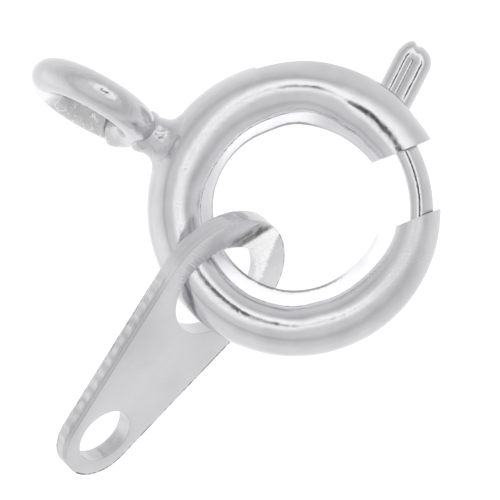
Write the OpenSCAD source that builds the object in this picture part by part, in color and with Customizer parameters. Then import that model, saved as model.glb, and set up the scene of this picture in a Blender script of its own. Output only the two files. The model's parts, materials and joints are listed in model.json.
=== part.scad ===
// Spring ring clasp with a flat chain tab, lying on a table.
// Millimetres, Z up, the table is z = 0 and the origin is the middle of the footprint.
// Angles round the ring count anticlockwise from +X, seen from above.

/* [Ring tube] */
// Outer diameter of the whole ring
ring_od = 7.0; // [6.6:0.1:7.6]
// Outer diameter of the tube that the ring is bent from
tube_od = 1.57; // [1.5:0.01:1.58]
// Thickness of the tube's wall
tube_wall = 0.14; // [0.1:0.01:0.15]
// Angle at which the upper arm begins to open out
arm_from = 85; // [70:1:90]
// Bending radius of the upper arm's centre line, wider than the ring's
arm_r = 3.1; // [2.8:0.05:3.2]
// How far the rolled seam lies round from the top of the tube, towards the ring's middle
seam_angle = 44; // [30:1:60]
// Radius of the fine groove along the seam
seam_r = 0.02; // [0.01:0.005:0.03]

/* [Gap] */
// Direction of the two parallel saw cuts
cut_angle = 22; // [18:1:26]
// Distance of the upper cut from the ring's centre
upper_cut = 0.3; // [0.2:0.02:0.4]
// Width of the gap between the cuts
gap_w = 1.59; // [1.4:0.01:1.7]

/* [Latch] */
// Diameter of the tongue's wire
tongue_d = 0.56; // [0.5:0.01:0.57]
// Radius of the arc along which the tongue slides
tongue_arc_r = 3.04; // [2.9:0.01:3.05]
// Angle of the tongue's tip, inside the lower arm
tongue_tip = -20; // [-24:1:-16]
// Angle of the tongue's end behind the lever
tongue_end = 56; // [54:1:58]
// Angle at which the lever stands on the tongue
lever_at = 45.6; // [44:0.1:47]
// Direction in which the lever points
lever_dir = 62; // [58:1:66]
// Diameter of the hairpin's leg on the gap's side, which bends over at the tip
leg_d = 0.53; // [0.48:0.01:0.55]
// Diameter of the hairpin's other leg, which ends in a dome
back_leg_d = 0.42; // [0.36:0.01:0.48]
// Height of the lever's tip over the tongue's centre line
lever_h = 1.95; // [1.7:0.01:2.1]
// How far the latch turns back along the tube when it is opened
latch_travel = 47; // [40:1:48]
// Width that the tube's slot has beyond the lever's legs
slot_play = 0.06; // [0.04:0.01:0.1]

/* [Connector loop] */
// Outer diameter of the loop
loop_od = 3.27; // [3.2:0.01:3.5]
// Diameter of the loop's wire
loop_wire_d = 0.85; // [0.8:0.01:0.9]
// Distance of the loop's centre from the ring's centre
loop_dist = 5.4; // [5.35:0.01:5.5]
// Angle round the ring at which the loop is soldered on
loop_at = 152.9; // [150:0.1:157]
// Turn of the loop about the line from the ring's centre
loop_twist = 5; // [0:1:8]
// Angle of the butt joint of the loop's wire, from the outermost point
loop_joint_at = -122; // [-130:1:-110]
// Width of the butt joint
loop_joint_w = 0.05; // [0.03:0.01:0.08]
// Diameter of the solder neck
neck_d = 0.94; // [0.9:0.01:1]
// Diameter of the neck's foot, where it flares out on the tube
neck_foot_d = 1.36; // [1.2:0.02:1.4]

/* [Chain tab] */
// Thickness of the flat tab
tab_t = 0.43; // [0.38:0.01:0.46]
// Radius of the narrow end
tab_small_r = 1.03; // [0.98:0.01:1.08]
// Radius of the wide end
tab_big_r = 1.8; // [1.7:0.01:1.85]
// Distance between the centres of the two ends
tab_len = 4.72; // [4.5:0.01:4.8]
// Diameter of the hole at the narrow end
small_hole_d = 1.44; // [1.3:0.02:1.5]
// Distance of the small hole from the narrow end's centre
small_hole_x = 0.1; // [0:0.01:0.15]
// Diameter of the hole that the ring passes through
big_hole_d = 2.46; // [2.44:0.01:2.5]
// Distance of the big hole from the wide end's centre, towards the small hole
big_hole_x = 0.2; // [0.1:0.01:0.3]
// How far the tube sits off the big hole's middle, towards the small hole
hang_x = -0.05; // [-0.1:0.01:0]

/* [Rest] */
// Slope of the ring as it lies on its loop, its tab and its upper arm
rest_tilt = 7.9; // [7:0.1:9]
// Angle of the side that slopes down to the table
rest_low = 26.6; // [20:0.2:34]
// Lean of the tab from the table
tab_lean = 53.5; // [53:0.5:55]
// Direction of the tab's lower edge, which lies level
tab_heading = 46.4; // [44:0.1:48]
// Angle round the ring at which the tab hangs on the tube
tab_at = 223.5; // [221:0.5:226]

/* [Hidden] */
$fn = 96;
tube_r = tube_od / 2;
bore_r = tube_r - tube_wall;
ring_r = ring_od / 2 - tube_r;
// distance of the upper arm's centre line from the ring's centre, where the arm lies on the table
arm_reach = ring_r + (arm_r - ring_r) * (1 - cos(arm_from - rest_low));
// height of the ring's centre over the table
centre_h = tube_r + arm_reach * sin(rest_tilt);
// angle between the tab's centre line and each flank
tab_taper = asin((tab_big_r - tab_small_r) / tab_len);
// middle of the footprint, seen from the ring's centre
footprint = [-1.408, -1.149];

// Places its children, made round the ring's centre, as the clasp lies on the table.
module at_rest() {
    translate([-footprint[0], -footprint[1], centre_h])
        rotate([0, 0, rest_low]) rotate([0, rest_tilt, 0]) rotate([0, 0, -rest_low])
            children();
}

// A bent rod or tube of the 2-D section given, from angle a0 to a1 on an arc of radius r.
module bent(r, a0, a1) {
    rotate([0, 0, a0]) rotate_extrude(angle = a1 - a0) translate([r, 0]) children();
}

// The round part of the ring, from where the arm begins to the lower arm.
module round_run(a1) {
    bent(ring_r, arm_from, a1) children();
}

// The upper arm on its wider arc, which is tangent to the round part; it ends at the angle a1.
module arm_run(a1) {
    rotate([0, 0, arm_from]) translate([ring_r - arm_r, 0, 0]) rotate([0, 0, -arm_from])
        bent(arm_r, 15, a1) children();
}

// Section of the tube with the outer radius r, with the groove of its rolled seam.
module tube_section(r) {
    difference() {
        circle(r);
        rotate([0, 0, 90 + seam_angle]) translate([r, 0]) circle(seam_r, $fn = 24);
    }
}

// The bent tube without its bore; the arm is a hair thinner and starts inside the round part.
module tube_run() {
    arm_start = 1;
    arm_step = 0.004;
    union() {
        round_run(365) tube_section(tube_r);
        arm_run(arm_from + arm_start) tube_section(tube_r - arm_step);
    }
}

// Connector loop in its own plane, its outermost point on +X.
module loop_wire() {
    wire_r = loop_wire_d / 2;
    mean_r = loop_od / 2 - wire_r;
    difference() {
        rotate_extrude() translate([mean_r, 0]) circle(wire_r);
        rotate([0, 0, loop_joint_at])
            translate([mean_r - loop_wire_d, -loop_joint_w / 2, -loop_wire_d])
                cube([2 * loop_wire_d, loop_joint_w, 2 * loop_wire_d]);
    }
}

// Solder between the tube and the loop, turned about the line from the ring's centre.
module neck() {
    wire_x = loop_dist - loop_od / 2 + loop_wire_d / 2;
    foot_x = ring_od / 2 - 0.12;
    fillet_r = (neck_foot_d - neck_d) / 2;
    rotate([0, 90, 0]) union() {
        translate([0, 0, ring_r]) cylinder(h = wire_x - ring_r, d = neck_d);
        difference() {
            translate([0, 0, ring_r]) cylinder(h = foot_x + fillet_r - ring_r, d = neck_foot_d);
            translate([0, 0, foot_x + fillet_r]) rotate_extrude()
                translate([neck_foot_d / 2, 0]) circle(fillet_r);
        }
    }
}

// Everything that the two cuts take out of the ring.
module gap_cut() {
    rotate([0, 0, cut_angle])
        translate([0, upper_cut - gap_w, -ring_od / 2]) cube([ring_od, gap_w, ring_od]);
}

// The slot on the outside of the tube in which the lever travels.
module lever_slot() {
    slot_w = leg_d + 2 * slot_play;
    leg_half = atan(leg_d / tongue_arc_r) + 2;
    base = lever_at + 2;
    bent(ring_od / 2, base - leg_half, base + leg_half + latch_travel)
        translate([-0.3, -slot_w / 2]) square([1.2, slot_w]);
}

module case_ring() {
    color("gainsboro") at_rest() union() {
        difference() {
            union() {
                tube_run();
                rotate([0, 0, loop_at]) neck();
            }
            round_run(366) circle(bore_r);
            arm_run(arm_from) circle(bore_r);
            gap_cut();
            lever_slot();
        }
        rotate([0, 0, loop_at]) translate([loop_dist, 0, 0])
            rotate([90 + loop_twist, 0, 0]) loop_wire();
    }
}

// Lever: a hairpin of wire, standing on +X from the tongue's centre line, its legs side by side.
module hairpin() {
    leg_r = leg_d / 2;
    back_r = back_leg_d / 2;
    seat = 0.01;
    parting = leg_r - back_r;
    bend_x = lever_h - leg_d;
    translate([0, parting - leg_r + seat, 0]) rotate([0, 90, 0]) cylinder(h = bend_x, r = leg_r);
    translate([bend_x, parting + seat, 0]) rotate_extrude(angle = 90, start = 270)
        intersection() {
            translate([leg_r, 0]) circle(leg_r);
            translate([0, -leg_r]) square(leg_d);
        }
    translate([bend_x + leg_r, parting + seat, 0]) sphere(leg_r);
    translate([0, parting + back_r - seat, 0]) rotate([0, 90, 0])
        cylinder(h = lever_h - back_r + seat, r = back_r);
    translate([lever_h - back_r + seat, parting + back_r - seat, 0]) sphere(back_r);
}

module latch() {
    color("silver") at_rest() union() {
        bent(tongue_arc_r, tongue_tip, tongue_end) circle(tongue_d / 2);
        rotate([0, 0, tongue_tip]) translate([tongue_arc_r, 0, 0]) sphere(tongue_d / 2);
        rotate([0, 0, lever_at]) translate([tongue_arc_r, 0, 0])
            rotate([0, 0, lever_dir - lever_at]) hairpin();
    }
}

// The tab's plate: two round ends, and straight flanks a hair inside their common tangents.
module tab_plate() {
    inset = 0.997;
    side = [-sin(tab_taper), cos(tab_taper)];
    other = [side[0], -side[1]];
    far = [tab_len, 0];
    union() {
        cylinder(h = tab_t, r = tab_small_r);
        translate(far) cylinder(h = tab_t, r = tab_big_r);
        linear_extrude(tab_t) polygon([
            inset * tab_small_r * side,
            far + inset * tab_big_r * side,
            far + inset * tab_big_r * other,
            inset * tab_small_r * other
        ]);
    }
}

module chain_tab() {
    big_x = tab_len - big_hole_x;
    a = tab_at - rest_low;
    tube_centre = [
        ring_r * cos(a) * cos(rest_tilt),
        ring_r * sin(a),
        centre_h - ring_r * cos(a) * sin(rest_tilt)
    ];
    color("lightgray")
        translate([-footprint[0], -footprint[1], 0])
        rotate([0, 0, rest_low]) translate(tube_centre) rotate([0, 0, -rest_low])
        rotate([0, 0, tab_heading]) rotate([tab_lean, 0, 0]) rotate([0, 0, tab_taper])
        translate([-big_x - hang_x, 0, -tab_t / 2]) difference() {
            tab_plate();
            translate([small_hole_x, 0, -1]) cylinder(h = tab_t + 2, d = small_hole_d);
            translate([big_x, 0, -1]) cylinder(h = tab_t + 2, d = big_hole_d);
        }
}

case_ring();
latch();
chain_tab();
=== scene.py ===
"""Looks of the spring ring clasp: the bent tube, the solder, the loop, the latch and the chain tab."""

import json
import math

import bmesh
import bpy
from mathutils import Matrix, Vector, noise


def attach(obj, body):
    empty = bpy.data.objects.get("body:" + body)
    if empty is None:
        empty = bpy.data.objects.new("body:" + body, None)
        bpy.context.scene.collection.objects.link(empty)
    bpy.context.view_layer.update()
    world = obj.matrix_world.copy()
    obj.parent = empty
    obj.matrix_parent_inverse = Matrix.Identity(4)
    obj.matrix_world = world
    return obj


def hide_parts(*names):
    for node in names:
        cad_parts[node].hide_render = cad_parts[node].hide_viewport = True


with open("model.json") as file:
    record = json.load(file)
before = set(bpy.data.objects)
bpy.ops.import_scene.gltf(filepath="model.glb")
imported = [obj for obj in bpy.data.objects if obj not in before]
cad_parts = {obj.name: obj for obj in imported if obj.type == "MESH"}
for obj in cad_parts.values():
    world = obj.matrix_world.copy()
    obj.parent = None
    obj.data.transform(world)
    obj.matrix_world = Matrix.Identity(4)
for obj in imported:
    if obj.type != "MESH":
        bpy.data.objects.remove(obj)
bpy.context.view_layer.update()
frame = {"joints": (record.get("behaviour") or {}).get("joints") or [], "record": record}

# Pieces are built in millimetres. Corners closer together than the weld distance become one.
MM = 0.001
WELD = 0.0008

# The ring: its own frame has the ring's axis on Z and the ring's middle at the origin.
latch_joint = frame["joints"][0]
RING_CENTRE = Vector(latch_joint["pos_m"])
RING_AXIS = Vector(latch_joint["axis"]).normalized()
RING_LEAN = Vector((0, 0, 1)).rotation_difference(RING_AXIS).to_matrix().to_4x4()
RING_PLACE = Matrix.Translation(RING_CENTRE) @ RING_LEAN

# Section of the tube, in millimetres and degrees: crown on top, seam inside it, lip at the inner edge.
CROWN_R = 2.81
CROWN_W = 0.69
CROWN_H = 0.735
BELLY_H = 0.77
SEAM_AT = 145
LIP_R = 1.93
LIP_DROP = 0.12
LIP_FROM = 49.5
BORE_R = 0.575

SEAM_R = CROWN_R + CROWN_W * math.cos(math.radians(SEAM_AT))

# The tube is spun past both cuts, between these azimuths, and then sawn.
TUBE_FROM = 18
TUBE_TO = 366
TUBE_STEPS = 290

# The crown's shift outwards and the depth of its flat, as (azimuth in degrees, millimetres) stops.
CROWN_WANDER = (
    (26, -0.31),
    (40, -0.27),
    (54, -0.2),
    (84, 0),
    (140, 0),
    (185, 0.13),
    (238, 0.13),
    (262, 0.08),
    (285, -0.02),
    (318, -0.06),
    (355, 0),
)
CROWN_FLAT = (
    (24, 0.006),
    (36, 0.0135),
    (57, 0.015),
    (65, 0),
    (195, 0),
    (208, 0.013),
    (240, 0.0122),
    (262, 0.005),
    (275, 0),
)
CROWN_FLAT_W = 0.15

# Other unevenness of the tube, in millimetres, each with the azimuths over which it comes or goes.
CROWN_STEP = 0.05
CROWN_STEP_OVER = (160, 199)
SEAM_WANDER = 0.1
SEAM_WANDER_AT = 340
LIP_WANDER = 0.14
LIP_WANDER_OVER = (305, 350)
ARM_LIP = 0.1
ARM_LIP_OVER = (84, 112)
ARM_RISE = 0.05
ARM_RISE_OVER = (58, 80)
FLAT_WALL_OVER = (72, 98)

# Azimuths over which each mark of the tube's finish and painted light comes or goes.
SEAM_SHOWS = (80, 100)
SEAM_HIDES = (285, 320)
LIP_SHOWS = (66, 88)
LIP_PAINTED_WHITE = (292, 314)
SOLDER_FROM = (130, 160)
SOLDER_UNTIL = (205, 230)
WORN_END = (295, 330)

# Depth of the fine unevenness of the tube's skin and of the round wires.
TUBE_ROUGH = 0.004
WIRE_ROUGH = 0.006

# The two saw cuts, parallel to each other, seen along the ring's axis.
CUT_DIRECTION = 22
UPPER_CUT = 0.3
UPPER_CUT_OVER = (15, 60)
LOWER_CUT = -1.29
LOWER_CUT_OVER = (300, 374)

# The upper arm opens out on a wider arc.
ARM_FROM = 85
ARM_SPREAD = 0.385

# The lever's slot on the outside of the tube.
SLOT_W = 0.64
SLOT_FROM = 36.5
SLOT_TO = 106
LIP_RAISE = 0.10
LIP_RAISE_W = 0.16

# Latch: the tongue's arc and the lever's hairpin.
TONGUE_R = 3.04
TONGUE_WIRE = 0.278
TONGUE_LEAN = 0.11
TONGUE_RISE = 0.045
TONGUE_RISE_FROM = 34
TONGUE_FLAT = 0.003
TONGUE_FLAT_W = 0.05
TONGUE_TIP = -19
TONGUE_END = 56
DOME_STEPS = (0.25, 0.5, 0.7, 0.86, 0.96)
LEVER_AT = 45.6
LEVER_DIR = 62
LEVER_H = 1.98
LEG_WIRE = 0.251
LEG_OVERLAP = 0.05
LEG_TAPER = 0.1
LEG_ROWS = 14
LOBE = 0.1
LOBE_AT = 0.24
LOBE_W = 0.15
NOTCH = 0.05
NOTCH_AT = 0.04
NOTCH_W = 0.06
LEVER_DROOP = 0.1
DROOP_FROM = 0.65

# Connector loop and the solder neck that carries it.
LOOP_AT = 152.9
LOOP_DIST = 5.4
LOOP_TWIST = 5
LOOP_R = 1.21
LOOP_WIRE = 0.417
LOOP_SWING = -2.5
LOOP_FOOT = 4.15
LOOP_JOINT = -128
LOOP_JOINT_W = 0.11
LOOP_END_STEP = 0.11
LOOP_STEP_OVER = (322, 356)
LOOP_END_ROUND = 0.035
SOLDER_FOOT = (0.98, 0.6)
SOLDER_WAIST = (0.47, 0.42)
SOLDER_WAIST_AT = 3.8
SOLDER_HEAD = 0.53
SOLDER_SUNK = 0.012
SOLDER_ROOT = 0.06
SOLDER_LUMPS = 0.022

# Chain tab, in its own plane: the small end's middle is the origin and the wide end lies on +X.
TAB_HOLE = Vector(frame["record"]["mounts"][0]["pos_m"])
TAB_NORMAL = Vector(frame["record"]["mounts"][0]["axis"]).normalized()
TAB_HEADING = 46.4
TAB_T = 0.43
TAB_SMALL_R = 1.03
TAB_BIG_R = 1.8
TAB_LEN = 4.72
TAB_TAPER = math.asin((TAB_BIG_R - TAB_SMALL_R) / TAB_LEN)
TAB_RAISED = 0.002
TAB_EDGE_ROUND = 0.007
SMALL_HOLE_R = 0.72
SMALL_HOLE_X = 0.1
BIG_HOLE_R = 1.23
BIG_HOLE_X = 4.52
# Height just under the plate's flat face, inside the round of its edge.
FACE_Z = 0.2149

# The head past the crease is pressed down. Its painted highlight lies above a line through LIT_FROM.
CREASE_FROM = Vector((5.78, 0.33, 0))
CREASE_TO = Vector((6.5, -0.13, 0))
HEAD_DROP = 0.03
HEAD_FROM = 5.2
LIT_FROM = Vector((5.381, -0.978))
LIT_ACROSS = Vector((-0.3926, 0.9197))


def radial(az):
    """Direction in the ring's plane at the azimuth az, in degrees."""
    return Vector((math.cos(math.radians(az)), math.sin(math.radians(az)), 0))


def turn(degrees, axis):
    """Rotation matrix by degrees about an axis's letter."""
    return Matrix.Rotation(math.radians(degrees), 4, axis)


def azimuth(co):
    """Azimuth of a point in the ring's own frame, from 0 to 360 degrees."""
    return math.degrees(math.atan2(co.y, co.x)) % 360


def ring_run(co):
    """Azimuth that runs on past 360 degrees at the lower end of the tube."""
    az = azimuth(co)
    return az + 360 if az < 15 else az


def smooth_step(x, low, high):
    """Eased step from 0 at low to 1 at high."""
    t = min(1.0, max(0.0, (x - low) / (high - low)))
    return t * t * (3 - 2 * t)


def wander(co, size, seed):
    """Smooth noise from -1 to 1 at a point in millimetres."""
    return noise.noise(co / size + Vector((seed, 0.37 * seed, -seed)))


def roughened(co, depth, size, seed):
    """The point moved out or in by smooth noise."""
    return co + co.normalized() * depth * wander(co, size, seed)


def with_parts(faces):
    """Faces with their corners and edges, as an operator takes them."""
    return list({v for f in faces for v in f.verts}) + list({e for f in faces for e in f.edges}) + faces


def round_edges(bm, edges, offset):
    """Breaks sharp edges with a small round."""
    bmesh.ops.bevel(
        bm,
        geom=edges,
        offset=offset,
        offset_type="OFFSET",
        segments=3,
        profile=0.5,
        affect="EDGES",
        material=-1,
    )


def bent_wire(bm, wire, radius, start, sweep, steps):
    """Open skin of round wire, bent round the Z axis from the azimuth start over sweep degrees."""
    bmesh.ops.create_circle(bm, segments=48, radius=wire)
    bmesh.ops.rotate(bm, verts=bm.verts, matrix=turn(90, "X").to_3x3(), cent=(0, 0, 0))
    bmesh.ops.translate(bm, verts=bm.verts, vec=(radius, 0, 0))
    bmesh.ops.rotate(bm, verts=bm.verts, matrix=turn(start, "Z").to_3x3(), cent=(0, 0, 0))
    geom = list(bm.verts) + list(bm.edges)
    bmesh.ops.spin(bm, geom=geom, cent=(0, 0, 0), axis=(0, 0, 1), angle=math.radians(sweep), steps=steps)


def finish_piece(bm, name, place, body, material, sharp=38, wound=False):
    """Puts a bmesh in millimetres in place as a piece on a body, faces outwards unless wound already."""
    bmesh.ops.remove_doubles(bm, verts=bm.verts, dist=WELD)
    if not wound:
        bmesh.ops.recalc_face_normals(bm, faces=bm.faces)
    bmesh.ops.transform(bm, matrix=place @ Matrix.Scale(MM, 4), verts=bm.verts)
    mesh = bpy.data.meshes.new(name)
    bm.to_mesh(mesh)
    bm.free()
    mesh.shade_smooth()
    mesh.set_sharp_from_angle(angle=math.radians(sharp))
    mesh.materials.append(material)
    piece = bpy.data.objects.new(name, mesh)
    bpy.context.scene.collection.objects.link(piece)
    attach(piece, body)
    return piece


# Materials


class Nodes:
    """A material's node tree, with short calls to add and link its nodes."""

    def __init__(self, name, base, roughness):
        self.material = bpy.data.materials.new(name)
        self.material.use_nodes = True
        self.tree = self.material.node_tree
        self.shader = self.tree.nodes["Principled BSDF"]
        self.shader.inputs["Metallic"].default_value = 1.0
        self.shader.inputs["Base Color"].default_value = (*base, 1.0)
        self.shader.inputs["Roughness"].default_value = roughness

    def add(self, kind, **values):
        node = self.tree.nodes.new(kind)
        for key, value in values.items():
            setattr(node, key, value)
        return node

    def link(self, source, target):
        self.tree.links.new(source, target)

    def feed(self, socket, source):
        """Links a source to one of the shader's own sockets."""
        self.link(source, self.shader.inputs[socket])

    def fed(self, socket):
        """The output that feeds one of the shader's own sockets."""
        return self.shader.inputs[socket].links[0].from_socket

    def coordinates(self, scale=(1, 1, 1), attribute=None):
        """Object coordinates, or a named attribute's vector, stretched by a Mapping node."""
        mapping = self.add("ShaderNodeMapping")
        mapping.inputs["Scale"].default_value = scale
        if attribute:
            source = self.add("ShaderNodeAttribute", attribute_name=attribute).outputs["Vector"]
        else:
            source = self.add("ShaderNodeTexCoord").outputs["Object"]
        self.link(source, mapping.inputs["Vector"])
        return mapping.outputs["Vector"]

    def noise(self, vector, scale, detail=4.0, rough=0.55, distortion=0.0):
        node = self.add("ShaderNodeTexNoise")
        node.inputs["Scale"].default_value = scale
        node.inputs["Detail"].default_value = detail
        node.inputs["Roughness"].default_value = rough
        node.inputs["Distortion"].default_value = distortion
        self.link(vector, node.inputs["Vector"])
        return node.outputs["Fac"]

    def ramp(self, value, *stops):
        """A colour ramp through (position, grey or colour) stops."""
        node = self.add("ShaderNodeValToRGB")
        elements = node.color_ramp.elements
        for extra in range(len(stops) - 2):
            elements.new(0.5)
        for element, (position, shade) in zip(elements, stops):
            element.position = position
            element.color = (*shade, 1.0) if isinstance(shade, tuple) else (shade, shade, shade, 1.0)
        self.link(value, node.inputs["Fac"])
        return node.outputs["Color"]

    def remap(self, value, from_low, from_high, to_low, to_high):
        node = self.add("ShaderNodeMapRange", interpolation_type="SMOOTHSTEP")
        node.inputs["From Min"].default_value = from_low
        node.inputs["From Max"].default_value = from_high
        node.inputs["To Min"].default_value = to_low
        node.inputs["To Max"].default_value = to_high
        self.link(value, node.inputs["Value"])
        return node.outputs["Result"]

    def math(self, operation, a, b):
        node = self.add("ShaderNodeMath", operation=operation)
        for socket, value in zip(node.inputs, (a, b)):
            if isinstance(value, (int, float)):
                socket.default_value = value
            else:
                self.link(value, socket)
        return node.outputs["Value"]

    def mix_colour(self, factor, a, b, blend="MIX"):
        node = self.add("ShaderNodeMix", data_type="RGBA", blend_type=blend)
        for socket, value in ((node.inputs[0], factor), (node.inputs[6], a), (node.inputs[7], b)):
            if isinstance(value, (int, float)):
                socket.default_value = value
            elif isinstance(value, tuple):
                socket.default_value = (*value, 1.0)
            else:
                self.link(value, socket)
        return node.outputs[2]

    def bump(self, height, strength, distance, normal=None):
        node = self.add("ShaderNodeBump")
        node.inputs["Strength"].default_value = strength
        node.inputs["Distance"].default_value = distance
        self.link(height, node.inputs["Height"])
        if normal:
            self.link(normal, node.inputs["Normal"])
        return node.outputs["Normal"]

    def attribute(self, name):
        return self.add("ShaderNodeAttribute", attribute_name=name).outputs["Fac"]


SILVER = (0.762, 0.757, 0.775)
TARNISH = (0.67, 0.665, 0.685)


def polished_silver(name, low=0.07, high=0.2, cloud=900.0, grain=0.35):
    """Polished silver plate: faint clouds in the polish, fine scratches, and small dents."""
    n = Nodes(name, SILVER, low)
    here = n.coordinates()
    clouds = n.noise(here, cloud, detail=5.0)
    scratches = n.noise(n.coordinates((1, 0.14, 1)), 16000.0, detail=3.0, rough=0.7)
    cross = n.noise(n.coordinates((0.12, 1, 0.6)), 14000.0, detail=2.0, rough=0.7)
    dents = n.noise(here, 1700.0, detail=2.0, distortion=0.6)
    n.feed("Base Color", n.ramp(clouds, (0.3, TARNISH), (0.62, SILVER)))
    wear = n.math("MULTIPLY", clouds, n.math("ADD", scratches, cross))
    n.feed("Roughness", n.remap(wear, 0.3, 0.75, low, high))
    specks = n.noise(here, 30000.0, detail=2.0, rough=0.65)
    rubbed = n.bump(n.math("ADD", scratches, cross), grain, 0.000002)
    fine = n.bump(specks, grain, 0.000004, rubbed)
    n.feed("Normal", n.bump(dents, 0.6, 0.000012, fine))
    return n


def tube_silver():
    """The tube's finish, with the ragged seam that runs round the ring, and a painted reflection on the wall
    inside it: a painted dark line, a painted bright strip, and painted white towards the lower cut.
    """
    n = polished_silver("silver_plate_tube")
    side = n.attribute("seam_side")
    ragged = n.noise(n.coordinates(), 9000.0, detail=3.0, rough=0.7)
    away = n.math("ADD", side, n.math("MULTIPLY", n.math("SUBTRACT", ragged, 0.5), 0.16))
    ridge = n.ramp(n.remap(away, -0.05, 0.05, 0.0, 1.0), (0.0, 0.5), (0.4, 0.9), (0.6, 0.1), (1.0, 0.5))
    raised = n.math("MULTIPLY", ridge, n.attribute("seam_line"))
    n.feed("Normal", n.bump(raised, 0.6, 0.00002, n.fed("Normal")))
    across = n.math("MULTIPLY", n.math("ADD", away, 0.7), 1.25)
    # Painted reflection on the inner wall: a painted dark line near the inner edge, and a painted bright
    # strip between it and the seam.
    wall = n.ramp(across, (0.05, 0.77), (0.1, 0.42), (0.31, 0.42), (0.38, 1.0), (0.83, 1.0), (0.88, 0.77))
    inside = n.mix_colour(n.attribute("lip_shows"), (0.77, 0.77, 0.77), wall)
    line = n.ramp(across, (0.83, 1.0), (0.87, 0.35), (0.91, 1.0))
    lined = n.mix_colour(n.attribute("seam_line"), inside, n.mix_colour(1.0, inside, line, "MULTIPLY"))
    # Towards the lower cut the inner wall is painted white, a painted reflection. This painted white and the
    # painted bright strip are also made less metallic, so that the lamp lights them white.
    rolled = n.math("MULTIPLY", n.ramp(across, (0.84, 1.0), (0.88, 0.0)), n.attribute("inner_wall"))
    painted_white_mask = n.math("MULTIPLY", rolled, n.attribute("lip_painted_white"))
    shade = n.mix_colour(painted_white_mask, lined, (1.0, 1.0, 1.0))
    strip = n.ramp(across, (0.33, 0.0), (0.38, 1.0), (0.83, 1.0), (0.88, 0.0))
    matte = n.math("MAXIMUM", painted_white_mask, n.math("MULTIPLY", strip, n.attribute("lip_shows")))
    dulled = n.math("MAXIMUM", n.math("MULTIPLY", matte, 0.7), n.math("MULTIPLY", n.attribute("bore"), 0.75))
    n.feed("Metallic", n.math("SUBTRACT", 1.0, dulled))
    soft_end = n.math("MULTIPLY", n.attribute("worn_end"), 0.17)
    softer = n.math("ADD", soft_end, n.math("MULTIPLY", n.math("MAXIMUM", rolled, n.attribute("bore")), 0.25))
    n.feed("Roughness", n.math("ADD", n.fed("Roughness"), softer))
    whiter = (1.32, 1.32, 1.32)
    white_base = n.mix_colour(1.0, n.fed("Base Color"), whiter, "MULTIPLY")
    n.feed("Base Color", n.mix_colour(1.0, white_base, shade, "MULTIPLY"))
    return n.material


def solder_silver():
    """Solder: softer and lumpier than the plate, with small pits."""
    n = polished_silver("silver_solder", low=0.14, high=0.32, grain=0.5)
    lumps = n.noise(n.coordinates(), 4200.0, detail=3.0, distortion=1.0)
    n.feed("Normal", n.bump(lumps, 0.5, 0.00003, n.fed("Normal")))
    return n.material


def loop_silver():
    """The loop's wire: polished and rippled, with scuffs, a darker tone and painted white glints on its lower
    strand, and a painted highlight on its far side.
    """
    n = polished_silver("silver_plate_loop", low=0.09, high=0.22)
    scuffed = n.attribute("scuffed")
    scuffs = n.noise(n.coordinates((1, 1, 0.5)), 6500.0, detail=5.0, rough=0.75, distortion=0.8)
    ripple = n.noise(n.coordinates(), 2600.0, detail=2.0, rough=0.4, distortion=1.2)
    rippled = n.bump(ripple, 0.8, 0.00002, n.fed("Normal"))
    n.feed("Normal", n.bump(n.math("MULTIPLY", scuffs, scuffed), 0.9, 0.00005, rippled))
    dull = n.mix_colour(n.math("MULTIPLY", scuffed, 0.6), n.fed("Base Color"), (0.66, 0.655, 0.66))
    # White specks brighter than the metal on the lower strand are painted glints.
    painted_glints = n.math("MULTIPLY", scuffed, n.remap(scuffs, 0.55, 0.66, 0.0, 1.0))
    rubbed = n.mix_colour(painted_glints, dull, (1.15, 1.15, 1.15))
    # The far side's lower part is painted white, a painted highlight.
    n.feed("Base Color", n.mix_colour(n.attribute("painted_white_mask"), rubbed, (1.25, 1.25, 1.25)))
    return n.material


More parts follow.
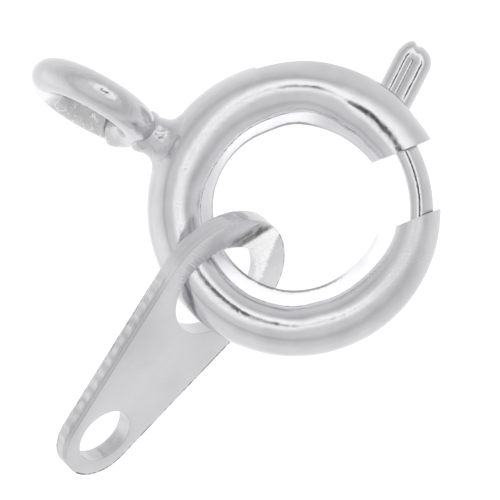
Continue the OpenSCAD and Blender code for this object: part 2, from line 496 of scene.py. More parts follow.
def tab_silver():
    """The tab's blanked plate: satin faces, a burnished rim, the torn edge's ribs with painted shade in their
    hollows, a painted highlight at the crease and a painted dark reflection beside it.
    """
    n = polished_silver("silver_plate_tab", low=0.2, high=0.28, cloud=500.0, grain=0.05)
    along = n.attribute("edge_along")
    torn = n.attribute("edge_torn")
    vector = n.add("ShaderNodeCombineXYZ")
    n.link(along, vector.inputs["X"])
    n.link(n.math("MULTIPLY", torn, 0.25), vector.inputs["Y"])
    uneven = n.noise(vector.outputs["Vector"], 4.6, detail=0.5, rough=0.4, distortion=0.4)
    wave = n.add("ShaderNodeTexWave", wave_type="BANDS", bands_direction="X", wave_profile="SIN")
    wave.inputs["Scale"].default_value = 0.98
    wave.inputs["Distortion"].default_value = 2.2
    wave.inputs["Detail Scale"].default_value = 1.4
    n.link(vector.outputs["Vector"], wave.inputs["Vector"])
    ribs = n.math("ADD", n.math("MULTIPLY", uneven, 0.8), n.math("MULTIPLY", wave.outputs["Fac"], 0.35))
    n.feed("Normal", n.bump(n.math("MULTIPLY", ribs, torn), 1.0, 0.00004, n.fed("Normal")))
    streaks = n.noise(n.coordinates(attribute="crease_run"), 5.5, detail=4.0, rough=0.75)
    # The crease is painted white and made less metallic: a painted highlight.
    crease = n.math("MULTIPLY", n.attribute("crease"), n.remap(streaks, 0.36, 0.56, 0.85, 1.0))
    blotches = n.noise(n.coordinates(), 4800.0, detail=4.0, rough=0.7)
    patchy = n.math("MAXIMUM", n.remap(streaks, 0.4, 0.56, 0.3, 1.0), n.remap(blotches, 0.4, 0.56, 0.3, 1.0))
    # The spot just before the crease is painted dark: a painted dark reflection.
    rubbed = n.math("MULTIPLY", n.attribute("rubbed"), patchy)
    n.feed("Metallic", n.math("SUBTRACT", 1.0, n.math("MULTIPLY", crease, 0.6)))
    lit = n.mix_colour(crease, n.fed("Base Color"), (1.0, 1.0, 1.0))
    worn = n.mix_colour(n.math("MULTIPLY", rubbed, 0.95), lit, (0.16, 0.155, 0.14))
    rim = n.mix_colour(n.math("MULTIPLY", n.attribute("burnished"), 0.38), worn, (0.3, 0.3, 0.31))
    # The torn edge's rib hollows are painted darker: painted shade.
    rib_hollow_shade = n.math("MULTIPLY", torn, n.remap(ribs, 0.35, 0.8, 0.22, 0.0))
    valley = n.mix_colour(rib_hollow_shade, rim, (0.45, 0.45, 0.46))
    broken = n.remap(n.noise(n.coordinates(), 8000.0, detail=2.0, rough=0.6), 0.44, 0.56, 0.1, 1.0)
    at_rim = n.remap(n.attribute("rim_away"), 0.02, 0.055, 1.0, 0.0)
    edge = n.math("MULTIPLY", at_rim, n.attribute("face_side"))
    burr = n.mix_colour(n.math("MULTIPLY", edge, broken), valley, (0.1, 0.1, 0.11))
    n.feed("Base Color", burr)
    return n.material


# The bent tube


def section_point(phi):
    """Section's point (distance from the ring's axis, height), phi degrees from the outside over the top."""
    a = math.radians(phi)
    if phi < -90:
        return CROWN_R + (CROWN_R - LIP_R) * math.cos(a), -LIP_DROP + (BELLY_H - LIP_DROP) * math.sin(a)
    if phi < 0:
        return CROWN_R + CROWN_W * math.cos(a), BELLY_H * math.sin(a)
    if phi <= SEAM_AT:
        return CROWN_R + CROWN_W * math.cos(a), CROWN_H * math.sin(a)
    lip = math.radians(LIP_FROM * (180 - phi) / (180 - SEAM_AT))
    return CROWN_R - (CROWN_R - LIP_R) * math.cos(lip), -LIP_DROP + (BELLY_H - LIP_DROP) * math.sin(lip)


def section_angles():
    """Angles round the section: even steps, with closer ones at the seam."""
    at_seam = [SEAM_AT + step for step in (-2.5, -1.2, -0.4, 0.4, 1.5)]
    return list(range(-180, SEAM_AT - 3, 4)) + at_seam + list(range(SEAM_AT + 3, 180, 4))


def spun_skin(bm, points):
    """Spins a closed section of (r, z) points over the tube's run, and returns the new faces."""
    before = set(bm.faces)
    verts = [bm.verts.new((r, 0, z)) for r, z in points]
    edges = [bm.edges.new(pair) for pair in zip(verts, verts[1:] + verts[:1])]
    bmesh.ops.rotate(bm, verts=verts, cent=(0, 0, 0), matrix=turn(TUBE_FROM, "Z").to_3x3())
    sweep = math.radians(TUBE_TO - TUBE_FROM)
    bmesh.ops.spin(bm, geom=verts + edges, cent=(0, 0, 0), axis=(0, 0, 1), angle=sweep, steps=TUBE_STEPS)
    return [f for f in bm.faces if f not in before]


def cut_end(bm, low, high, distance, keep_above):
    """Saws the tube through in the cuts' direction, within a range of azimuths, and closes the wall's end."""
    normal = Vector((-math.sin(math.radians(CUT_DIRECTION)), math.cos(math.radians(CUT_DIRECTION)), 0))
    faces = [f for f in bm.faces if low < ring_run(f.calc_center_median()) < high]
    bmesh.ops.bisect_plane(
        bm,
        geom=with_parts(faces),
        dist=1e-5,
        plane_co=normal * distance,
        plane_no=normal,
        clear_inner=keep_above,
        clear_outer=not keep_above,
    )
    rim = [
        e
        for e in bm.edges
        if e.is_boundary
        and all(abs(v.co.dot(normal) - distance) < 1e-3 for v in e.verts)
        and (low - 20) < ring_run((e.verts[0].co + e.verts[1].co) / 2) < (high + 20)
    ]
    bmesh.ops.bridge_loops(bm, edges=rim)


def cut_slot(bm):
    """Opens the lever's slot through both skins of the tube's outside, and closes its four walls."""
    planes = [
        (Vector((0, 0, SLOT_W / 2)), Vector((0, 0, 1))),
        (Vector((0, 0, -SLOT_W / 2)), Vector((0, 0, 1))),
        (Vector((0, 0, 0)), turn(90, "Z") @ radial(SLOT_FROM)),
        (Vector((0, 0, 0)), turn(90, "Z") @ radial(SLOT_TO)),
    ]

    def outside(f):
        """Whether a face lies on the outside of the tube, near the slot."""
        c = f.calc_center_median()
        beside = SLOT_FROM - 6 < azimuth(c) < SLOT_TO + 6
        return beside and abs(c.z) < SLOT_W and math.hypot(c.x, c.y) > CROWN_R + 0.2

    for origin, normal in planes:
        geom = with_parts([f for f in bm.faces if outside(f)])
        bmesh.ops.bisect_plane(bm, geom=geom, dist=1e-5, plane_co=origin, plane_no=normal)
    window = [
        f
        for f in bm.faces
        if outside(f)
        and abs(f.calc_center_median().z) < SLOT_W / 2
        and SLOT_FROM < azimuth(f.calc_center_median()) < SLOT_TO
    ]
    kept_open = {e for e in bm.edges if e.is_boundary}
    bmesh.ops.delete(bm, geom=window, context="FACES")
    rim = [e for e in bm.edges if e.is_boundary and e not in kept_open]
    bmesh.ops.bridge_loops(bm, edges=rim)


def along_ring(az, stops):
    """Smooth value between (azimuth, value) stops."""
    for (low, first), (high, second) in zip(stops, stops[1:]):
        if az <= high:
            return first + (second - first) * smooth_step(az, low, high)
    return stops[-1][1]


def bend_section(co):
    """Gives the tube the unevenness of bending: crown, seam and lip wander, and the upper arm stands high."""
    run = ring_run(co)
    out = Vector((co.x, co.y, 0)).normalized()
    r = math.hypot(co.x, co.y)
    on_crown = smooth_step(co.z, 0, 0.42) * (1 - smooth_step(r, CROWN_R + 0.1, CROWN_R + 0.62))
    shift = along_ring(run, CROWN_WANDER) * on_crown
    fall = 0.0
    if r < SEAM_R and co.z > -LIP_DROP:
        chord = -LIP_DROP + (section_point(SEAM_AT)[1] + LIP_DROP) * (r - LIP_R) / (SEAM_R - LIP_R)
        fall = (co.z - chord) * (1 - smooth_step(run, *FLAT_WALL_OVER))
    if r < CROWN_R:
        shift += ARM_LIP * (1 - smooth_step(run, *ARM_LIP_OVER)) * (1 - smooth_step(r, LIP_R, CROWN_R - 0.2))
        near_seam = 1 - abs(r - SEAM_R) / (SEAM_R - LIP_R if r < SEAM_R else CROWN_R - SEAM_R)
        wave = math.cos(math.radians(run - SEAM_WANDER_AT))
        shift += SEAM_WANDER * wave * max(0.0, near_seam) * smooth_step(co.z, -0.1, 0.2)
        shift += LIP_WANDER * smooth_step(run, *LIP_WANDER_OVER) * (1 - smooth_step(r, LIP_R, CROWN_R - 0.1))
    top = math.exp(-(((r - CROWN_R) / CROWN_FLAT_W) ** 2)) * (co.z > 0.4)
    rise = ARM_RISE * (1 - smooth_step(run, *ARM_RISE_OVER)) - along_ring(run, CROWN_FLAT) * top
    rise -= CROWN_STEP * smooth_step(run, *CROWN_STEP_OVER) * smooth_step(co.z, 0, 0.5)
    return co + out * shift + Vector((0, 0, rise - fall))


def open_arm(co):
    """Moves the upper arm out to its wider arc, and raises the lips of the slot a little."""
    run = ring_run(co)
    out = Vector((co.x, co.y, 0)).normalized()
    spread = ARM_SPREAD * (1 - math.cos(math.radians(ARM_FROM - run))) if run < ARM_FROM else 0
    near = math.exp(-((max(0.0, abs(co.z) - SLOT_W / 2) / LIP_RAISE_W) ** 2))
    along = smooth_step(run, SLOT_FROM - 2, SLOT_FROM + 14) * (1 - smooth_step(run, SLOT_TO - 30, SLOT_TO))
    outer = smooth_step(math.hypot(co.x, co.y), CROWN_R + 0.2, CROWN_R + CROWN_W)
    return co + out * (spread + LIP_RAISE * near * along * outer)


def wind_walls(bm, bore):
    """Turns the walls between the tube's two skins the way that the skin beside them faces."""
    walls = {f for f in bm.faces if 0 < sum(v[bore] for v in f.verts) < len(f.verts)}
    for face in walls:
        for loop in face.loops:
            beside = loop.link_loop_radial_next
            if beside.face not in walls:
                if beside.vert == loop.vert:
                    face.normal_flip()
                break


def build_ring_tube():
    """The tube: an outer skin and its bore, wound before the cuts, then bent, sawn and slotted."""
    bm = bmesh.new()
    outer = spun_skin(bm, [section_point(phi) for phi in section_angles()])
    angles = [math.radians(6 * k) for k in range(60)]
    bore_skin = spun_skin(bm, [(CROWN_R + BORE_R * math.cos(a), BORE_R * math.sin(a)) for a in angles])
    bmesh.ops.recalc_face_normals(bm, faces=outer)
    bmesh.ops.recalc_face_normals(bm, faces=bore_skin)
    bmesh.ops.reverse_faces(bm, faces=bore_skin)
    names = ("seam_side", "seam_line", "inner_wall", "lip_shows", "lip_painted_white", "worn_end", "bore")
    side, line, inner, lip, bright, worn, bore = (bm.verts.layers.float.new(name) for name in names)
    seam_r, seam_z = section_point(SEAM_AT)
    for v in {v for f in outer for v in f.verts}:
        r = math.hypot(v.co.x, v.co.y)
        run = ring_run(v.co)
        reach = math.hypot(r - seam_r, v.co.z - seam_z)
        v[side] = reach if r > CROWN_R or (r > seam_r and v.co.z > 0) else -reach
        v[inner] = smooth_step(v.co.z, -0.6, -0.35)
        v[line] = smooth_step(run, *SEAM_SHOWS) * (1 - smooth_step(run, *SEAM_HIDES)) * v[inner]
        at_solder = smooth_step(run, *SOLDER_FROM) * (1 - smooth_step(run, *SOLDER_UNTIL))
        # Masks for the painted reflection on the inner wall: where it shows, and where it is painted white
        # towards the lower cut.
        v[lip] = smooth_step(run, *LIP_SHOWS) * v[inner] * (1 - 0.6 * at_solder)
        v[bright] = smooth_step(run, *LIP_PAINTED_WHITE) * v[inner]
        v[worn] = smooth_step(run, *WORN_END)
    for v in {v for f in bore_skin for v in f.verts}:
        v[bore] = 1.0
    for v in bm.verts:
        v.co = bend_section(v.co)
    cut_end(bm, *UPPER_CUT_OVER, UPPER_CUT, keep_above=True)
    cut_end(bm, *LOWER_CUT_OVER, LOWER_CUT, keep_above=False)
    cut_slot(bm)
    for v in bm.verts:
        v.co = roughened(open_arm(v.co), TUBE_ROUGH, 0.9, 3.1)
    wind_walls(bm, bore)
    return finish_piece(bm, "ring_tube", RING_PLACE, "case", tube_silver(), wound=True)


# Solder and loop


def tube_skin(y, z, sunk):
    """Point on the outside of the tube, seen from the loop, sunk into its wall by a little."""
    height = CROWN_H if z > 0 else BELLY_H
    reach = CROWN_R + (CROWN_W - sunk) * math.sqrt(max(0.0, 1 - (z / height) ** 2))
    return Vector((math.sqrt(reach * reach - y * y), y, z))


def solder_point(step, psi):
    """The solder's skin: to step 1 it lies in the tube's wall, to 2 is the fillet, then it holds the wire."""
    side = Vector((0, math.cos(psi), math.sin(psi)))
    foot_y = SOLDER_FOOT[0] * side.y * (1 + 0.12 * math.sin(psi))
    foot_z = SOLDER_FOOT[1] * side.z
    if step <= 1:
        return tube_skin(foot_y * step, foot_z * step, SOLDER_ROOT if step < 0.98 else SOLDER_SUNK)
    waist = Vector((SOLDER_WAIST_AT, SOLDER_WAIST[0] * side.y, SOLDER_WAIST[1] * side.z))
    if step > 2:
        t = step - 2
        swell = 1 + 0.10 * math.sin(math.pi * min(1.0, t / 0.8))
        close = math.sqrt(max(0.0, 1 - smooth_step(t, 0.45, 1.0)))
        return Vector((SOLDER_WAIST_AT + SOLDER_HEAD * t, waist.y * swell * close, waist.z * swell * close))
    foot = tube_skin(foot_y, foot_z, SOLDER_SUNK)
    inward = (tube_skin(foot_y * 0.93, foot_z * 0.93, SOLDER_SUNK) - foot).normalized()
    reach = (waist - foot).length
    ahead = foot + inward * 0.5 * reach
    behind = waist - Vector((0.42 * reach, 0, 0))
    t = step - 1
    return foot * (1 - t) ** 3 + ahead * 3 * t * (1 - t) ** 2 + behind * 3 * t * t * (1 - t) + waist * t**3


def build_solder_neck():
    """The solder between tube and loop: its foot runs out on the tube, and its head holds the wire."""
    steps = [0, 0.3, 0.6, 0.85, 0.97, 1]
    steps += [1 + k / 22 for k in range(1, 23)]
    steps += [2 + k / 16 for k in range(1, 17)]
    bm = bmesh.new()
    verts = [bm.verts.new((step, 0 if step in (0, 3) else 1, 0)) for step in steps]
    edges = [bm.edges.new(pair) for pair in zip(verts, verts[1:])]
    round_x = {"cent": (0, 0, 0), "axis": (1, 0, 0), "angle": math.tau}
    bmesh.ops.spin(bm, geom=verts + edges, steps=110, use_merge=True, **round_x)
    for v in bm.verts:
        step = v.co.x
        v.co = solder_point(step, math.atan2(v.co.z, v.co.y))
        rough = SOLDER_LUMPS * smooth_step(step, 1.3, 1.8)
        lift = wander(v.co, 0.3, 7.3) + 0.5 * wander(v.co, 0.13, 1.7)
        v.co += Vector((0, v.co.y, v.co.z)).normalized() * rough * lift
    bmesh.ops.transform(bm, matrix=turn(LOOP_AT, "Z"), verts=bm.verts)
    return finish_piece(bm, "solder_neck", RING_PLACE, "case", solder_silver())


def build_connector_loop():
    """A ring of round wire; its ends meet in a butt joint, one a little outside the other."""
    bm = bmesh.new()
    gap = math.degrees(LOOP_JOINT_W / LOOP_R)
    bent_wire(bm, LOOP_WIRE, LOOP_R, LOOP_JOINT, 360 - gap, 180)
    for loop_end in (LOOP_JOINT, LOOP_JOINT - gap):
        across = turn(90, "Z") @ radial(loop_end)
        rim = [
            e
            for e in bm.edges
            if e.is_boundary
            and (e.verts[0].co + e.verts[1].co).normalized().dot(radial(loop_end)) > 0.9
            and all(abs(v.co.dot(across)) < 1e-3 for v in e.verts)
        ]
        if rim:
            bmesh.ops.contextual_create(bm, geom=rim)
    caps = [f for f in bm.faces if len(f.verts) > 4]
    round_edges(bm, list({e for f in caps for e in f.edges}), LOOP_END_ROUND)
    scuffed, painted_white_mask = (bm.verts.layers.float.new(name) for name in ("scuffed", "painted_white_mask"))
    for v in bm.verts:
        past = (math.degrees(math.atan2(v.co.y, v.co.x)) - LOOP_JOINT) % 360
        v.co.z -= LOOP_END_STEP * smooth_step(past, *LOOP_STEP_OVER)
        v.co = roughened(v.co, WIRE_ROUGH, 0.5, 5.9)
        v[scuffed] = smooth_step(-v.co.y, 0.3, 0.9)
        # Mask of the far side's painted highlight.
        v[painted_white_mask] = smooth_step(v.co.x, 0.75, 1.25) * (1 - smooth_step(v.co.y, -0.25, 0.35))
    foot = Matrix.Translation((LOOP_FOOT, 0, 0))
    back = Matrix.Translation((-LOOP_FOOT, 0, 0))
    swing = foot @ turn(LOOP_SWING, "Z") @ back
    stand = turn(LOOP_AT, "Z") @ swing @ Matrix.Translation((LOOP_DIST, 0, 0)) @ turn(90 + LOOP_TWIST, "X")
    bmesh.ops.transform(bm, matrix=stand, verts=bm.verts)
    return finish_piece(bm, "connector_loop", RING_PLACE, "case", loop_silver())


# Latch


def build_tongue():
    """The tongue: round wire bent to the ring's run, with domed ends."""
    bm = bmesh.new()
    bent_wire(bm, TONGUE_WIRE, TONGUE_R, TONGUE_TIP, TONGUE_END - TONGUE_TIP, 96)
    for end_at, out in ((TONGUE_TIP, -1), (TONGUE_END, 1)):
        across = turn(90, "Z") @ radial(end_at)
        for share in DOME_STEPS:
            rim = [
                e
                for e in bm.edges
                if e.is_boundary
                and (e.verts[0].co + e.verts[1].co).dot(radial(end_at)) > 1
                and out * e.verts[0].co.dot(across) > -1e-3
                and abs(azimuth(e.verts[0].co) - end_at % 360) < 12
            ]
            made = bmesh.ops.extrude_edge_only(bm, edges=rim)["geom"]
            ring = [g for g in made if isinstance(g, bmesh.types.BMVert)]
            middle = radial(end_at) * TONGUE_R
            reach = TONGUE_WIRE * share
            for v in ring:
                spoke = v.co - middle
                spoke -= across * spoke.dot(across)
                round_r = math.sqrt(TONGUE_WIRE**2 - reach**2)
                v.co = middle + across * out * reach + spoke.normalized() * round_r
        rim = [e for e in bm.edges if e.is_boundary and abs(azimuth(e.verts[0].co) - end_at % 360) < 12]
        bmesh.ops.contextual_create(bm, geom=rim)
    for v in bm.verts:
        out = Vector((v.co.x, v.co.y, 0)).normalized()
        v.co -= out * TONGUE_LEAN * smooth_step(v.co.z, 0, TONGUE_WIRE)
        past = TONGUE_RISE_FROM - math.degrees(math.atan2(v.co.y, v.co.x))
        off_crown = math.hypot(v.co.x, v.co.y) - TONGUE_R + TONGUE_LEAN
        top = math.exp(-((off_crown / TONGUE_FLAT_W) ** 2)) * (v.co.z > 0.2)
        v.co.z += TONGUE_RISE * TONGUE_R * math.radians(max(0.0, past)) - TONGUE_FLAT * top
    material = polished_silver("silver_plate_tongue", low=0.06, high=0.16, grain=0.3).material
    return finish_piece(bm, "latch_tongue", RING_PLACE, "latch", material)


def build_lever():
    """The lever: a hairpin of round wire on the tongue, its bend at the tip pressed into two lobes."""
    bm = bmesh.new()
    half = LEG_WIRE - LEG_OVERLAP
    bend_x = LEVER_H - LEG_WIRE - half
    bmesh.ops.create_circle(bm, segments=40, radius=LEG_WIRE)
    bmesh.ops.rotate(bm, verts=bm.verts, matrix=turn(90, "Y").to_3x3(), cent=(0, 0, 0))
    bmesh.ops.translate(bm, verts=bm.verts, vec=(0, -half, 0))

    def run_on(ring_verts, step):
        """Draws the wire's open end on along X, and returns the new end's corners."""
        edges = list({e for v in ring_verts for e in v.link_edges if e.other_vert(v) in ring_verts})
        made = bmesh.ops.extrude_edge_only(bm, edges=edges)["geom"]
        new = [g for g in made if isinstance(g, bmesh.types.BMVert)]
        bmesh.ops.translate(bm, verts=new, vec=(step, 0, 0))
        return set(new)

    ring = set(bm.verts)
    for row in range(LEG_ROWS):
        ring = run_on(ring, bend_x / LEG_ROWS)
    edges = list({e for v in ring for e in v.link_edges if e.other_vert(v) in ring})
    turned = bmesh.ops.spin(
        bm, geom=list(ring) + edges, cent=(bend_x, 0, 0), axis=(0, 0, 1), angle=math.pi, steps=24
    )["geom_last"]
    ring = {g for g in turned if isinstance(g, bmesh.types.BMVert)}
    for row in range(LEG_ROWS):
        ring = run_on(ring, -bend_x / LEG_ROWS)
    bmesh.ops.holes_fill(bm, edges=[e for e in bm.edges if e.is_boundary], sides=0)
    for v in bm.verts:
        spoke = Vector((max(0.0, v.co.x - bend_x), v.co.y, 0)).normalized() * half
        middle = Vector((min(v.co.x, bend_x), 0, 0)) + spoke
        v.co = middle + (v.co - middle) * (1.0 - LEG_TAPER * middle.y / half)
        tip = smooth_step(v.co.x, bend_x - 0.1, LEVER_H - 0.15)
        lobe = LOBE * math.exp(-(((v.co.y - LOBE_AT) / LOBE_W) ** 2))
        notch = NOTCH * math.exp(-(((v.co.y - NOTCH_AT) / NOTCH_W) ** 2))
        v.co.x += tip * (lobe - notch)
        v.co.z -= LEVER_DROOP * max(0.0, v.co.x - DROOP_FROM)
        v.co = roughened(v.co, WIRE_ROUGH, 0.2, 2.2)
    stand = Matrix.Translation(radial(LEVER_AT) * TONGUE_R) @ turn(LEVER_DIR, "Z")
    bmesh.ops.transform(bm, matrix=stand, verts=bm.verts)
    material = polished_silver("silver_plate_lever", low=0.08, high=0.2, grain=0.4).material
    return finish_piece(bm, "latch_lever", RING_PLACE, "latch", material)


# Chain tab


def tab_place():
    """Places the tab's own plane: its small hole on the mount and its long flank level."""
    level = radial(TAB_HEADING)
    up = TAB_NORMAL.cross(level).normalized()
    turned = Matrix((level, up, TAB_NORMAL)).transposed().to_4x4() @ turn(math.degrees(TAB_TAPER), "Z")
    raised = Matrix.Translation(TAB_HOLE + Vector((0, 0, TAB_RAISED * MM)))
    return raised @ turned @ Matrix.Translation((-SMALL_HOLE_X * MM, 0, 0))


def build_tab():
    """The flat tab, blanked from sheet: round ends, straight flanks, two holes, and a slightly bent head."""
    bm = bmesh.new()

    def arc(middle_x, radius, count, keep_right):
        """One round end: a circle cut off where the straight flanks leave it."""
        place = Matrix.Translation((middle_x, 0, 0))
        verts = bmesh.ops.create_circle(bm, segments=count, radius=radius, matrix=place)["verts"]
        edges = list({e for v in verts for e in v.link_edges})
        cut_x = middle_x - radius * math.sin(TAB_TAPER)
        bmesh.ops.bisect_plane(bm, geom=verts + edges, dist=1e-6, plane_co=(cut_x, 0, 0), plane_no=(1, 0, 0))
        away = [v for v in bm.verts if v.is_valid and abs(v.co.x - middle_x) <= radius + 1e-3]
        away = [v for v in away if (v.co.x < cut_x - 1e-5) == keep_right and abs(v.co.x - cut_x) > 1e-5]
        bmesh.ops.delete(bm, geom=away, context="VERTS")

    arc(0, TAB_SMALL_R, 160, False)
    arc(TAB_LEN, TAB_BIG_R, 220, True)
    for above in (False, True):
        ends = [v for v in bm.verts if len(v.link_edges) == 1 and (v.co.y > 0) == above]
        flank = bm.edges.new(ends)
        bmesh.ops.subdivide_edges(bm, edges=[flank], cuts=90)
    for middle_x, radius, count in ((SMALL_HOLE_X, SMALL_HOLE_R, 90), (BIG_HOLE_X, BIG_HOLE_R, 140)):
        place = Matrix.Translation((middle_x, 0, 0))
        bmesh.ops.create_circle(bm, segments=count, radius=radius, matrix=place)
    bmesh.ops.triangle_fill(bm, edges=list(bm.edges), use_beauty=True)
    bmesh.ops.translate(bm, verts=bm.verts, vec=(0, 0, -TAB_T / 2))
    for k in range(30):
        x = BIG_HOLE_X - 0.4 + 0.09 * k
        geom = list(bm.verts) + list(bm.edges) + list(bm.faces)
        bmesh.ops.bisect_plane(bm, geom=geom, dist=1e-6, plane_co=(x, 0, 0), plane_no=(1, 0, 0))
    for k in range(20):
        y = -1.75 + 0.11 * k
        geom = with_parts([f for f in bm.faces if f.calc_center_median().x > BIG_HOLE_X - 0.5])
        bmesh.ops.bisect_plane(bm, geom=geom, dist=1e-6, plane_co=(0, y, 0), plane_no=(0, 1, 0))
    made = bmesh.ops.extrude_face_region(bm, geom=list(bm.faces))["geom"]
    bmesh.ops.translate(bm, verts=[g for g in made if isinstance(g, bmesh.types.BMVert)], vec=(0, 0, TAB_T))
    bmesh.ops.recalc_face_normals(bm, faces=bm.faces)
    walls = {f for f in bm.faces if abs(f.normal.z) < 0.5}
    rims = {e for f in walls for e in f.edges if any(g not in walls for g in e.link_faces)}
    round_edges(bm, list(rims), TAB_EDGE_ROUND)
    sides = [f for f in bm.faces if abs(f.normal.z) < 0.3]
    tall = {e for f in sides for e in f.edges if abs(e.verts[0].co.z - e.verts[1].co.z) > 0.2}
    bmesh.ops.subdivide_edges(bm, edges=list(tall), cuts=7, use_grid_fill=True)
    mark_tab(bm)
    for v in bm.verts:
        v.co = bent_head(v.co)
    return finish_piece(bm, "chain_tab_plate", tab_place(), "case", tab_silver(), sharp=25)


def mark_tab(bm):
    """Marks the edge's torn and burnished parts, the distance from the rim, the crease's painted highlight
    and the painted dark reflection just before the crease.
    """
    names = ("edge_along", "edge_torn", "burnished", "rim_away", "face_side", "crease", "rubbed")
    along, torn, burnished, away, face, crease, rubbed = (bm.verts.layers.float.new(name) for name in names)
    crease_run = bm.verts.layers.float_vector.new("crease_run")
    taper = TAB_TAPER
    small_x = -TAB_SMALL_R * math.sin(taper)
    big_x = TAB_LEN - TAB_BIG_R * math.sin(taper)
    for v in bm.verts:
        x, y, z = v.co
        if x < small_x:
            from_rim = TAB_SMALL_R - math.hypot(x, y)
            v[away] = from_rim + max(0.0, y)
            v[along] = small_x - TAB_SMALL_R * (abs(math.atan2(y, x)) - math.pi / 2 - taper)
        elif x > big_x:
            from_rim = TAB_BIG_R - math.hypot(x - TAB_LEN, y)
            v[away] = from_rim + 3 * max(0.0, y + 0.15)
            v[along] = big_x + TAB_BIG_R * (math.pi / 2 + taper - abs(math.atan2(y, x - TAB_LEN)))
        else:
            from_rim = TAB_SMALL_R + x * math.sin(taper) - abs(y) * math.cos(taper)
            v[away] = TAB_SMALL_R + x * math.sin(taper) + y * math.cos(taper)
            v[along] = x
        v[face] = smooth_step(z, 0.2, FACE_Z) * (1 - 0.5 * smooth_step(x, 4.6, 5.4))
        on_head = smooth_step(x, TAB_LEN - 1.2, TAB_LEN - 0.2)
        if from_rim < 0.04:
            v[torn] = (1 - smooth_step(z, 0.03, 0.09)) * (1 - 0.8 * on_head) * smooth_step(z, -FACE_Z, -0.2)
            v[burnished] = smooth_step(z, 0.04, 0.1) * (1 - smooth_step(z, 0.213, FACE_Z)) * (1 - on_head)
        elif abs(math.hypot(x - SMALL_HOLE_X, y) - SMALL_HOLE_R) < 0.02:
            v[along] = SMALL_HOLE_R * abs(math.atan2(y, x - SMALL_HOLE_X))
            v[torn] = 0.45 * (1 - smooth_step(z, 0.0, 0.2)) * smooth_step(z, -FACE_Z, -0.2)
        past = past_crease(v.co)
        if z > 0:
            # The crease's painted highlight, strongest above the line through LIT_FROM.
            across = (v.co.xy - LIT_FROM).dot(LIT_ACROSS)
            zone = smooth_step(x, 5.0, 5.3) * smooth_step(past, -0.05, 0.1)
            v[crease] = zone * (0.25 + 0.75 * smooth_step(across, -0.02, 0.03))
            # The spot just before the crease, which holds the painted dark reflection.
            spot = smooth_step(x, 5.5, 5.8) * smooth_step(past, -0.5, -0.2)
            v[rubbed] = spot * (1 - smooth_step(past, -0.06, 0.08)) * (1 - smooth_step(x, 6.35, 6.5))
        v[crease_run] = (past * 3.2, 0.12 * x, 0)


def past_crease(co):
    """Distance past the crease, a line across the head's strip between the hole and the rim."""
    run = (CREASE_TO - CREASE_FROM).normalized()
    return (Vector((co.x, co.y, 0)) - CREASE_FROM).dot(Vector((run.y, -run.x, 0)))


def bent_head(co):
    """The head's lower part is pressed down a little past the crease."""
    past = past_crease(co)
    if co.x < HEAD_FROM or past <= -0.15:
        return co
    depth = HEAD_DROP * smooth_step(co.x, HEAD_FROM, 6.0) * smooth_step(past, -0.15, 0.5)
    depth *= 1 - smooth_step(past, 0.9, 1.8)
    return co - Vector((0, 0, depth))


# Stage


def white_table():
    """The plain pale floor, which isn't mirrored in the metal."""
    bm = bmesh.new()
    bmesh.ops.create_grid(bm, x_segments=1, y_segments=1, size=0.6)
    mesh = bpy.data.meshes.new("table")
    bm.to_mesh(mesh)
    bm.free()
    table = bpy.data.objects.new("table", mesh)
    bpy.context.scene.collection.objects.link(table)
    table.location = (0, 0, -0.00002)
    paper = bpy.data.materials.new("white_paper")
    paper.use_nodes = True
    shader = paper.node_tree.nodes["Principled BSDF"]
    shader.inputs["Base Color"].default_value = (0.9, 0.9, 0.9, 1)
    shader.inputs["Roughness"].default_value = 0.9
    shader.inputs["Specular IOR Level"].default_value = 0.0
    mesh.materials.append(paper)
    table.visible_glossy = False


def soft_lamp(name, energy, size, height):
    """A large soft lamp overhead, which lights the table and isn't mirrored in the metal."""
    light = bpy.data.lights.new(name, "AREA")
    light.shape = "DISK"
    light.size = size
    light.energy = energy
    light.use_shadow = False
    lamp = bpy.data.objects.new(name, light)
    bpy.context.scene.collection.objects.link(lamp)
    lamp.location = (0, 0, height)
    lamp.visible_glossy = False


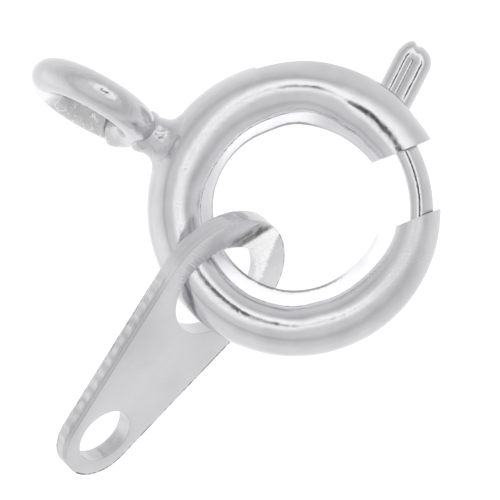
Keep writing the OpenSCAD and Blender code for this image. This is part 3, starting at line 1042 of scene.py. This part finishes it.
def light_tent():
    """The white tent round the object: grey cloth, a bright opening with the dark lens, a pale lower half."""
    world = bpy.data.worlds.new("light_tent")
    bpy.context.scene.world = world
    world.use_nodes = True
    tree = world.node_tree
    background = tree.nodes["Background"]

    def add(kind, **values):
        node = tree.nodes.new(kind)
        for key, value in values.items():
            setattr(node, key, value)
        return node

    coordinate = add("ShaderNodeTexCoord").outputs["Generated"]

    def towards(zenith, az, stops):
        """Brightness by the angle from a direction: stops are (angle in degrees, brightness)."""
        direction = turn(az, "Z") @ turn(zenith, "Y") @ Vector((0, 0, 1))
        dot = add("ShaderNodeVectorMath", operation="DOT_PRODUCT")
        tree.links.new(coordinate, dot.inputs[0])
        dot.inputs[1].default_value = direction
        angle = add("ShaderNodeMath", operation="ARCCOSINE")
        tree.links.new(dot.outputs["Value"], angle.inputs[0])
        scaled = add("ShaderNodeMath", operation="DIVIDE")
        tree.links.new(angle.outputs["Value"], scaled.inputs[0])
        scaled.inputs[1].default_value = math.pi
        ramp = add("ShaderNodeValToRGB")
        ramp.color_ramp.interpolation = "EASE"
        elements = ramp.color_ramp.elements
        for extra in range(len(stops) - 2):
            elements.new(0.5)
        top = max(level for degrees, level in stops)
        for element, (degrees, level) in zip(elements, stops):
            element.position = degrees / 180
            shade = level / top
            element.color = (shade, shade, shade, 1)
        tree.links.new(scaled.outputs["Value"], ramp.inputs["Fac"])
        strength = add("ShaderNodeMath", operation="MULTIPLY")
        tree.links.new(ramp.outputs["Color"], strength.inputs[0])
        strength.inputs[1].default_value = top
        return strength.outputs["Value"]

    def times(a, b):
        node = add("ShaderNodeMath", operation="MULTIPLY")
        tree.links.new(a, node.inputs[0])
        tree.links.new(b, node.inputs[1])
        return node.outputs["Value"]

    cloth = [(0, 0.78), (38, 0.74), (56, 0.60), (80, 0.74), (110, 0.88), (150, 0.98), (180, 1.0)]
    tent = towards(0, 0, cloth)
    opening = towards(34, 40, [(0, 1.7), (17, 1.65), (23, 1.35), (30, 1.05), (36, 1.0), (180, 1.0)])
    lens = towards(28, 36, [(0, 0.09), (7.2, 0.1), (9.4, 1.0), (180, 1.0)])
    side = towards(88, 190, [(0, 1.2), (22, 1.15), (40, 1.0), (180, 1.0)])
    tree.links.new(times(times(times(tent, opening), lens), side), background.inputs["Color"])
    background.inputs["Strength"].default_value = 1.0


def overhead_camera():
    """A long lens straight above, framed by the ring's place and size in the photograph."""
    ring_radius = 3.5
    ring_in_view = 147.4 / 500
    view_width = ring_radius * MM / ring_in_view
    left, down, height = 1.0495, 0.9759, 0.9
    view_middle = Vector((RING_CENTRE.x - left * MM, RING_CENTRE.y - down * MM, height * MM))
    camera = bpy.data.cameras.new("camera")
    camera.lens = 400
    camera.sensor_width = 36
    distance = view_width * camera.lens / camera.sensor_width
    camera.clip_start = 0.01
    camera.clip_end = 2.0
    holder = bpy.data.objects.new("camera", camera)
    bpy.context.scene.collection.objects.link(holder)
    holder.location = view_middle + Vector((0, 0, distance))
    bpy.context.scene.camera = holder


tube = build_ring_tube()
neck = build_solder_neck()
loop = build_connector_loop()
for piece in (tube, neck, loop):
    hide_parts("case_ring")
tongue = build_tongue()
lever = build_lever()
for piece in (tongue, lever):
    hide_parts("latch")
tab = build_tab()
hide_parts("chain_tab")

white_table()
soft_lamp("overhead_lamp", 1.6, 0.5, 0.4)
light_tent()
overhead_camera()
bpy.context.scene.view_settings.view_transform = "Standard"
